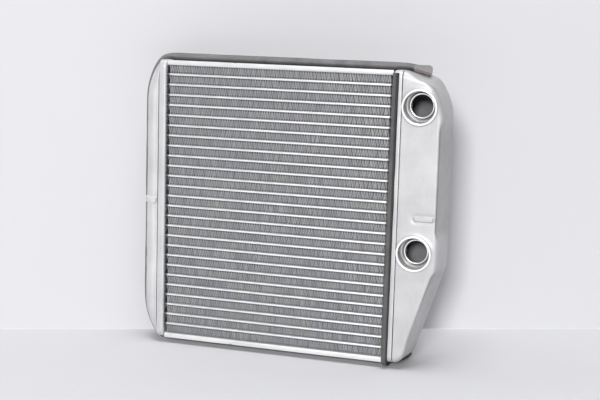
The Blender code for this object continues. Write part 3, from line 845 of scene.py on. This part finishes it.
def add_side_plate(name, node, side, nicks, material):
    """side is 1 at the top and -1 at the bottom."""
    low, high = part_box(node)
    base = high.z - PLATE_FLANGE if side > 0 else low.z + PLATE_FLANGE - BOTTOM_PLATE_SAG
    section = np.array(channel_section())
    length = high.x - low.x
    shares = list(np.linspace(0, 1, int(length / PLATE_STATION) + 1))
    for share, _, spread in nicks:
        shares += [share + spread / length * k / 4 for k in range(-6, 7)]
    loops = []
    for share in sorted(shares):
        x = low.x + share * length
        drop = PLATE_WEAR * (1 + noise.noise((x * 90, side * 3.1, 0)))
        for place, depth, spread in nicks:
            drop += depth * exp(-((share - place) * length / spread) ** 2)
        lean = PLATE_LEAN * noise.noise((x * 55, side * 7.7, 1.5))
        up = section[:, 1] / PLATE_FLANGE
        front = section[:, 0] < 0
        y = CORE_MIDDLE_Y + section[:, 0] + np.where(front, lean, -lean) * up
        z = base + side * (section[:, 1] - drop * up ** 3 * front)
        loops.append(np.stack([np.full(len(section), x), y, z], 1))
    return add_piece(name, solid(name, loops), material, "plate", [node])


# ---------------- headers

def add_header(name, node, side, material, inside):
    """Drawn pan whose base, slotted for the tubes, faces the core."""
    low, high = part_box(node)
    depth = high.x - low.x
    base_x = low.x if side > 0 else high.x
    middle_y = middle(node)[1]
    width = high.y - low.y
    height = high.z - low.z
    levels = round_shoulder(HEADER_BEND, HEADER_BEND_STEPS) + [(0.0, depth * 0.5)]
    levels += [(inset, depth - before) for inset, before in HEADER_RIM]
    rings = [box_loop(width - 2 * inset, height - 2 * inset, HEADER_CORNER - inset) for inset, _ in levels]
    columns = len(rings[0])
    verts = [
        (base_x + side * out, middle_y + y, CORE_MIDDLE + z)
        for ring, (_, out) in zip(rings, levels) for y, z in ring
    ]
    faces = grid_faces(len(rings), columns, closed=True)

    slot_width = CORE_BACK - CORE_FRONT + 2 * SLOT_CLEARANCE
    slot = np.array(stadium(slot_width, TUBE_HEIGHT + 2 * SLOT_CLEARANCE, SLOT_NOSE_STEPS))
    slots = [slot + (0, middle(f"tube_{index:02d}")[2] - CORE_MIDDLE) for index in range(1, TUBES + 1)]
    points, triangles = fill_sheet(rings[0], slots, np.zeros((0, 2)))
    faces += (triangles + len(verts)).tolist()
    verts += [(base_x, middle_y + y, CORE_MIDDLE + z) for y, z in points]
    mesh = sheet_mesh(name, verts, faces, Vector((-side, 0, 0)), base_x)
    piece = add_piece(name, mesh, material, "header", [node])
    thicken(piece, HEADER_SHEET, inside)
    return piece


def sheet_mesh(name, verts, faces, out, plane_x=None):
    """An open sheet with its patches joined, its faces (or those on a plane) turned to out."""
    bm = bmesh.new()
    for v in verts:
        bm.verts.new(v)
    bm.verts.ensure_lookup_table()
    for f in faces:
        if len(set(f)) == len(f):
            try:
                bm.faces.new([bm.verts[i] for i in f])
            except ValueError:
                continue
    bmesh.ops.remove_doubles(bm, verts=bm.verts, dist=0.004 * MM)
    bmesh.ops.dissolve_degenerate(bm, edges=bm.edges, dist=0.001 * MM)
    bmesh.ops.recalc_face_normals(bm, faces=bm.faces)
    judged = bm.faces
    if plane_x is not None:
        judged = [f for f in bm.faces if all(abs(v.co.x - plane_x) < 1e-6 for v in f.verts)]
    if sum(f.calc_area() * f.normal.dot(out) for f in judged) < 0:
        bmesh.ops.reverse_faces(bm, faces=bm.faces)
    mesh = bpy.data.meshes.new(name)
    bm.to_mesh(mesh)
    bm.free()
    return mesh


def thicken(piece, thickness, inside):
    """Give a sheet its thickness, with another material on its inner side, dark as painted shade."""
    piece.data.materials.append(inside)
    wall = piece.modifiers.new("sheet", "SOLIDIFY")
    wall.material_offset = 1
    wall.thickness = thickness
    wall.offset = -1


# ---------------- tank covers

def left_outline():
    """Left cover from its top to its bottom, as (distance out from the mouth, height)."""
    turn = degrees(acos((LEFT_ARC - LEFT_REACH) / LEFT_ARC))
    center_z = CORE_HALF - LEFT_ARC * sin(radians(turn))
    center = LEFT_REACH - LEFT_ARC
    top = arc((center, center_z), LEFT_ARC, turn, 0, 40)
    bottom = arc((center, -center_z), LEFT_ARC, 0, -turn, 40)
    return np.array(top + bottom)


def right_outline():
    """Right cover from its top to its bottom, as (distance out from the mouth, height)."""
    half = CORE_HALF
    bend = RIGHT_BEND_ABOVE_BASE - half
    taper = RIGHT_BEND_ABOVE_BASE * tan(RIGHT_TAPER)
    corners = [
        (0, half, 0),
        (RIGHT_KNEE_OUT, half - RIGHT_KNEE_DROP, RIGHT_KNEE_RADIUS),
        (RIGHT_REACH, half - RIGHT_TOP_DROP, RIGHT_TOP_RADIUS),
        (RIGHT_REACH, bend, RIGHT_BEND_RADIUS),
        (RIGHT_REACH - taper, -half, RIGHT_BOTTOM_CORNER),
        (0, -half, 0),
    ]
    return np.array(rounded(corners, 0.5 * MM))


def line_shares(length, dense):
    """Shares along a line: even steps, finer at both ends and in dense (share, reach, step)."""
    places = list(np.arange(0, length, COVER_STATION))
    for edge in MOUTH_STATIONS:
        places += [edge, length - edge]
    for share, reach, step in dense:
        center = share * length
        places = [p for p in places if abs(p - center) > reach]
        places += list(np.arange(center - reach, center + reach + step / 2, step))
    return np.array(sorted(places + [length])) / length


def round_shoulder(shoulder, steps=SHOULDER_STEPS):
    """(inset, depth) round a quarter turn."""
    angles = np.linspace(0, pi / 2, steps + 1)
    return [(shoulder * (1 - sin(a)), shoulder * (1 - cos(a))) for a in angles]


def drafted_shoulder(shoulder):
    """(inset, depth) round a small bend and down a side that leans out."""
    levels = []
    for angle in np.linspace(0, pi / 2 - RIGHT_DRAFT, SHOULDER_STEPS + 1):
        drop = RIGHT_EDGE_RADIUS * (1 - cos(angle))
        levels.append((shoulder - RIGHT_EDGE_RADIUS * sin(angle), drop))
    inset, y = levels[-1]
    for share in (0.3, 0.6, 0.85, 1.0):
        levels.append((inset * (1 - share), y + inset * share / tan(RIGHT_DRAFT)))
    return levels


def cover_levels(front, back):
    """(inset, depth) from the front face to the back face, given both shoulders."""
    depth = TANK_BACK - TANK_FRONT
    side = [(0.0, y) for y in np.linspace(front[-1][1], depth - back[-1][1], 5)[1:-1]]
    return front + side + [(inset, depth - y) for inset, y in reversed(back)]


def section_share(points):
    """How far a cover has changed to its last section, as one column."""
    share = smoothstep(*SECTION_CHANGE, points[:, 0])
    for _, height in PORTS.values():
        away = abs(points[:, 2] - height + CORE_MIDDLE)
        share *= 1 - 0.8 * smoothstep(PORT_SHOULDER[1], PORT_SHOULDER[0], away)
    return share[:, None]


def cover_mesh(name, outline, sections, side, mouth, holes, inner, dense, relief, lip):
    """A drawn cover as an open sheet, with relief(out, y, height) raised from it.

    The first section of (inset, depth) levels holds at the mouth and beside the ports, the
    last one elsewhere.
    """
    depth = TANK_BACK - TANK_FRONT
    shares = line_shares(lengths_along(outline)[-1], dense)
    skins = []
    for levels in sections:
        rings = [resample(clip_at_mouth(offset_line(outline, inset)), shares) for inset, _ in levels]
        skins.append(np.array([(u, y, z) for ring, (_, y) in zip(rings, levels) for u, z in ring]))
    share = section_share(skins[-1])
    verts = (skins[0] * (1 - share) + skins[-1] * share).tolist()
    faces = grid_faces(len(rings), len(shares))
    for ring, y, cut in ((rings[0], 0.0, holes), (rings[-1], depth, [])):
        points, triangles = fill_sheet(ring, cut, inner)
        faces += (triangles + len(verts)).tolist()
        verts += [(u, y, z) for u, z in points]
    mesh = sheet_mesh(name, verts, faces, Vector((1, 0, 0)))
    raise_relief(mesh, relief, lip)
    for v in mesh.vertices:
        u, y, z = v.co
        v.co = (mouth + side * u, TANK_FRONT + y, CORE_MIDDLE + z)
    if side < 0:
        mesh.flip_normals()
    return mesh


def raise_relief(mesh, relief, lip):
    """Move each corner along its normal by the relief there; lip is (width, drop) at the mouth."""
    places, normals = np.zeros((2, len(mesh.vertices), 3))
    mesh.vertices.foreach_get("co", places.reshape(-1))
    mesh.vertex_normals.foreach_get("vector", normals.reshape(-1))
    normals[:, 0] *= np.where(places[:, 0] < 0.6 * MM, 0, 1)
    normals /= np.linalg.norm(normals, axis=1)[:, None]
    width, drop = lip
    near = np.clip(1 - places[:, 0] / width, 0, 1)
    lift = relief(*places.T) - drop * (1 - np.sqrt(1 - near ** 2))
    lift += waviness(places, *COVER_WAVES) * smoothstep(0, 4 * MM, places[:, 0])
    edge = smoothstep(0.1 * MM, 1.0 * MM, places[:, 1]) * smoothstep(9 * MM, 4 * MM, places[:, 1])
    lift += waviness(places, *BEND_WAVES) * edge * smoothstep(3 * MM, 10 * MM, places[:, 0])
    mesh.vertices.foreach_set("co", (places + normals * lift[:, None]).ravel())
    mesh.update()


def left_relief(out, y, z):
    """The band pressed across the left cover at mid height, with a slanting end."""
    half = LEFT_RIB_HEIGHT / 2
    band = smoothstep(half + 0.25 * MM, half - 0.45 * MM, abs(z))
    start = smoothstep(-0.4 * MM, 0.4 * MM, out - 0.22 * (half - z))
    end = smoothstep(FOAM_SETBACK + 1.0 * MM, FOAM_SETBACK + 0.2 * MM, y)
    return LEFT_RIB_PROUD * band * start * end


def add_left_cover(material, inside):
    inner = grid_points(0.3 * MM, LEFT_REACH, -LEFT_RIB_HEIGHT, LEFT_RIB_HEIGHT, 0.3 * MM)
    columns = grid_points(0.15 * MM, 0.6 * MM, -0.09, 0.09, 0.2 * MM)
    inner = np.concatenate([inner, columns[::4]])
    dense = [(0.5, 3.5 * MM, 0.25 * MM)]
    shoulder = round_shoulder(LEFT_SHOULDER)
    sections = [cover_levels(shoulder, shoulder)]
    mesh = cover_mesh(
        "left_cover", left_outline(), sections, -1, LEFT_MOUTH, [], inner, dense, left_relief, LEFT_LIP
    )
    thicken(add_piece("left_cover", mesh, material, "tank", ["tank_left"]), COVER_SHEET, inside)


def right_relief(out, y, z):
    """The crimp rib, the dent at its end, and the braze fillet round each port."""
    half = RIGHT_RIB_HEIGHT / 2
    flat = RIGHT_RIB_LENGTH / 2 - half
    along = np.maximum(abs(out - RIGHT_RIB_MIDDLE) - flat, 0)
    away = np.sqrt(along ** 2 + (z - RIGHT_RIB_ABOVE_MIDDLE) ** 2)
    front = smoothstep(2.5 * MM, 0.8 * MM, y)
    rib = smoothstep(half + 0.35 * MM, half - 0.5 * MM, away)
    sink = smoothstep(half + 2.6 * MM, half + 0.4 * MM, away) * front
    lift = RIGHT_RIB_PROUD * rib * front - RIGHT_RIB_DENT * sink * (1 - rib)
    for x, height in PORTS.values():
        off = np.hypot(out - (x - RIGHT_MOUTH), z - (height - CORE_MIDDLE))
        lift += PORT_FILLET[0] * np.exp(-np.maximum(off - PORT_RIM_RADIUS, 0) / PORT_FILLET[1]) * front
    return lift


def add_right_cover(material, inside):
    half = CORE_HALF
    holes = []
    inner = [grid_points(1.5 * MM, RIGHT_REACH, -half, half, 1.6 * MM)]
    for x, height in PORTS.values():
        center = (x - RIGHT_MOUTH, height - CORE_MIDDLE)
        rings = [
            np.array(arc(center, PORT_NECK_RADIUS + reach, 0, 360, PORT_STEPS)[:-1])
            for reach in PORT_RINGS
        ]
        holes.append(rings[0])
        inner += rings[1:]
    reach = RIGHT_RIB_LENGTH / 2 + 2 * MM
    span = (RIGHT_RIB_MIDDLE - reach, RIGHT_RIB_MIDDLE + reach)
    inner.append(grid_points(*span, -2.8 * MM, 5.2 * MM, 0.32 * MM))
    columns = grid_points(0.12 * MM, 0.6 * MM, -half, half, 0.16 * MM)
    inner.append(columns[(np.round(columns[:, 1] / (0.16 * MM)) % 6) == 0])
    back = round_shoulder(RIGHT_SHOULDER)
    drafted = drafted_shoulder(RIGHT_SHOULDER)
    plain = back + [(0.0, y) for _, y in drafted[len(back):]]
    sections = [cover_levels(plain, back), cover_levels(drafted, back)]
    inner = np.concatenate(inner)
    mesh = cover_mesh(
        "right_cover", right_outline(), sections, 1, RIGHT_MOUTH, holes, inner, [], right_relief, RIGHT_LIP
    )
    thicken(add_piece("right_cover", mesh, material, "tank", ["tank_right"]), COVER_SHEET, inside)


# ---------------- ports

def port_profile():
    """Closed wall section of a port as (radius, height, edge radius), height out from the face."""
    seat_radius, seat_lip = PORT_GROOVE_RADIUS + 0.6 * MM, PORT_SEAT + 0.7 * MM
    corners = [
        (PORT_CUP_RADIUS, PORT_STAND, 0.45),
        (PORT_RIM_RADIUS, PORT_STAND, 0.7),
        (PORT_RIM_RADIUS, 0, 0.1),
        (PORT_NECK_RADIUS, 0, 0.1),
        (PORT_NECK_RADIUS, PORT_BASE, 0.1),
        (PORT_BORE_RADIUS, PORT_BASE, 0.2),
        (PORT_BORE_RADIUS, PORT_COLLAR_TOP, 0.4),
        (PORT_COLLAR_RADIUS, PORT_COLLAR_TOP, 0.3),
        (PORT_COLLAR_RADIUS, PORT_GROOVE, 0.1),
        (PORT_GROOVE_RADIUS, PORT_GROOVE, 0.1),
        (PORT_GROOVE_RADIUS, PORT_SEAT, 0.15),
        (seat_radius, PORT_SEAT, 0.15),
        (seat_radius, seat_lip, 0.15),
        (PORT_CUP_RADIUS, seat_lip, 0.15),
    ]
    return [(radius, height, edge * MM) for radius, height, edge in corners]


def add_port(name, node, x, height, material):
    profile = rounded(port_profile(), 0.15 * MM)
    angles = np.linspace(0, 2 * pi, PORT_STEPS, endpoint=False)
    loops = []
    for radius, out in profile:
        share = smoothstep(0, PORT_COLLAR_TOP, out)
        middle_x = x + PORT_LEAN[0] * share
        middle_z = height + PORT_LEAN[1] * share
        ring = [
            (middle_x + radius * cos(a), TANK_FRONT - out, middle_z + radius * sin(a))
            for a in angles
        ]
        loops.append(ring)
    return add_piece(name, solid(name, loops, ring=True), material, "port", [node])


# ---------------- foam

def add_foam(name, loops, material, replaced):
    piece = add_piece(name, solid(name, loops), material, "foam", replaced)


def edge_path():
    """The rim that the tape follows, from under the right tank round to its top, as (x, z)."""
    right = resample(right_outline(), np.linspace(0, 1, 500))
    top_end = RIGHT_REACH - (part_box("tank_right")[1].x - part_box("foam_seal")[1].x) + FOAM_END_REACH
    top = [(RIGHT_MOUTH + u, CORE_MIDDLE + z) for u, z in right if z > 0 and u < top_end]
    low = [(RIGHT_MOUTH + u, CORE_MIDDLE + z) for u, z in right if z < 0 and u < FOAM_LOW_END]
    around = [(LEFT_MOUTH - u, CORE_MIDDLE + z) for u, z in left_outline()[::-1]]
    return np.array(low + around + top)


def tape_section():
    """Edge view of the tape: (share across its width, share of its thickness), crowned outside."""
    back = [(0.16, 0, 0.02), (1, 0, 0.02), (1, 1, 0.08), (0.5, 1.05, 1.2)]
    return rounded(back + [(0.05, 1.0, 0.10), (0, 0.6, 0.25)], 0.03)


def add_edge_tape(material):
    path = edge_path()
    line = resample(path, np.linspace(0, 1, int(lengths_along(path)[-1] / FOAM_STATION)))
    for _ in range(FOAM_EASE):
        line[1:-1] = (line[:-2] + 2 * line[1:-1] + line[2:]) / 4
    out = left_normals(line)
    section = np.array(tape_section())
    front = CORE_FRONT + FOAM_SETBACK
    bed = PLATE_FLANGE - PLATE_SHEET
    loops = []
    for (x, z), (ox, oz) in zip(line, out):
        upper = z > CORE_MIDDLE
        over_core = smoothstep(CORE_LEFT, CORE_LEFT + 1 * MM, x)
        over_core *= smoothstep(CORE_RIGHT, CORE_RIGHT - 1 * MM, x)
        base = GAP * 0.3 - (bed * 0.9) * over_core
        swell = 1 + FOAM_SWELL * noise.noise((x * 60, z * 60, 2.0))
        sway = FOAM_SWAY * noise.noise((x * 35, z * 35, 9.0))
        taper = 1 - FOAM_TAPER * smoothstep(CORE_RIGHT - 8 * MM, RIGHT_MOUTH, x) * (z < CORE_MIDDLE)
        top = GAP + FOAM_THICKNESS * swell * taper
        tilt = FOAM_END_TILT * smoothstep(*FOAM_TILT_RANGE, x) * upper
        across = section[:, 0] * FOAM_WIDTH
        rise = base + (top - base) * section[:, 1]
        turned = across * cos(tilt) - rise * sin(tilt)
        lifted = rise * cos(tilt) + across * sin(tilt)
        y = front + turned + sway
        slant = FOAM_END_SLANT * across * smoothstep(line[-1, 0] - 6 * MM, line[-1, 0], x) * upper
        loops.append(np.stack([x + ox * lifted - slant, y, z + oz * lifted], 1))
    add_foam("foam_edge_tape", loops, material, ["foam_seal"])


def strip_line():
    """Centreline of the front strip in (y, z), down the header and back under it."""
    front = TANK_FRONT - STRIP_STAND / 2
    foot = CORE_FRONT + FOAM_SETBACK + FOAM_WIDTH / 2
    under = CORE_BASE - STRIP_STAND / 2
    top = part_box("foam_seal")[1].z - STRIP_TOP_DROP
    bend = (front, under, HEADER_CORNER + STRIP_STAND / 2)
    return np.array(rounded([(front, top, 0), bend, (foot, under, 0)], 0.3 * MM))


def add_front_strip(material):
    line = strip_line()
    length = lengths_along(line)[-1]
    shares = np.linspace(0, 1, int(length / FOAM_STATION))
    dense = np.linspace((length - STRIP_FOOT) / length, 1, STRIP_FOOT_STEPS)
    line = resample(line, np.unique(np.concatenate([shares, dense])))
    out = -left_normals(line)
    section = np.array(rounded([(-1, -1, 0.05), (1, -1, 0.05), (1, 1, 0.45), (-1, 1, 0.45)], 0.12))
    center = CORE_RIGHT + STRIP_WIDTH / 2 - STRIP_SHIFT
    height = RIGHT_PAN[1].z - RIGHT_PAN[0].z
    loops = []
    for (y, z), (oy, oz) in zip(line, out):
        lean = STRIP_LEAN * ((z - CORE_MIDDLE) / height)
        lean += STRIP_SWAY * noise.noise((0, 0, z * 45))
        swell = 1 + STRIP_SWELL * noise.noise((4.0, 0, z * 80))
        x = center + lean + section[:, 0] * STRIP_WIDTH / 2 * swell
        rise = section[:, 1] * (STRIP_STAND - 0.1 * MM) / 2
        loops.append(np.stack([x, y + oy * rise, z + oz * rise], 1))
    add_foam("foam_front_strip", loops, material, [])


# ---------------- stage, light and camera

def add_stage():
    """A pale floor that curves up into a wall set at a slant behind the object."""
    along = Vector((cos(WALL_TURN), sin(WALL_TURN), 0))
    back = Vector((-sin(WALL_TURN), cos(WALL_TURN), 0))
    foot = Vector((*WALL_POINT, 0))
    cove = arc((-COVE_RADIUS, COVE_RADIUS), COVE_RADIUS, -90, 0, COVE_STEPS)
    profile = [(-STAGE_REACH, 0.0), *cove, (0.0, STAGE_REACH)]
    loops = []
    for reach in (-STAGE_REACH, STAGE_REACH):
        loops.append([tuple(foot + along * reach + back * a + Vector((0, 0, z))) for a, z in profile])
    mesh = new_mesh("stage", np.array(loops).reshape(-1, 3), grid_faces(2, len(profile)))
    mesh.shade_smooth()
    mesh.materials.append(stage_material())
    new_object("stage", mesh)


def add_area_light(name, azimuth, elevation, distance, size, power):
    """A square soft light that faces the middle of the object; azimuth 0 is straight in front."""
    target = Vector((0, 0, CORE_MIDDLE))
    a = radians(azimuth)
    e = radians(elevation)
    away = Vector((sin(a) * cos(e), -cos(a) * cos(e), sin(e)))
    data = bpy.data.lights.new(name, "AREA")
    data.shape = "SQUARE"
    data.size = size
    data.energy = power
    light = new_object(name, data)
    light.location = target + away * distance
    light.rotation_euler = (-away).to_track_quat("-Z", "Y").to_euler()


def add_lights():
    world = bpy.data.worlds.new("world")
    world.use_nodes = True
    background = world.node_tree.nodes["Background"]
    background.inputs["Color"].default_value = WORLD_COLOUR
    background.inputs["Strength"].default_value = WORLD_STRENGTH
    bpy.context.scene.world = world
    for light in LIGHTS:
        add_area_light(*light)
    bpy.context.scene.view_settings.view_transform = "Standard"


def add_camera():
    data = bpy.data.cameras.new("camera")
    data.sensor_width = CAMERA_SENSOR
    data.shift_x, data.shift_y = CAMERA_SHIFT
    data.lens = CAMERA_LENS
    data.clip_start = 0.01
    data.clip_end = 20
    camera = new_object("camera", data)
    matrix = Matrix.Translation(CAMERA_PLACE)
    for angle, axis in ((CAMERA_AZIMUTH, "Z"), (pi / 2 - CAMERA_ELEVATION, "X"), (CAMERA_ROLL, "Z")):
        matrix @= Matrix.Rotation(angle, 4, axis)
    camera.matrix_world = matrix
    bpy.context.scene.camera = camera


def build():
    fin = fin_metal()
    tube = tube_metal()
    metals = {name: sheet_metal(f"{name}_aluminium", *look) for name, look in SHEETS.items()}
    tape = foam_material("foam_edge", *TAPE_COLOURS, tape_shade_and_free_end)
    strip = foam_material("foam_front", *STRIP_COLOURS, strip_painted_shade)
    add_fins(fin)
    add_tubes(tube)
    add_side_plate("plate_top", "side_plate_top", 1, [TOP_NICK], metals["plate"])
    add_side_plate("plate_bottom", "side_plate_bottom", -1, [BOTTOM_NICK], metals["plate"])
    inside = metals["inside"]
    add_header("pan_left", "header_left", -1, metals["header"], inside)
    add_header("pan_right", "header_right", 1, metals["header"], inside)
    add_left_cover(metals["left_tank"], inside)
    add_right_cover(metals["right_tank"], inside)
    for node, (x, height) in PORTS.items():
        metal = turned_metal(f"{node}_aluminium", (x, 0, height))
        add_port(node.replace("port", "socket"), node, x, height, metal)
    add_edge_tape(tape)
    add_front_strip(strip)


add_camera()
add_stage()
add_lights()
build()
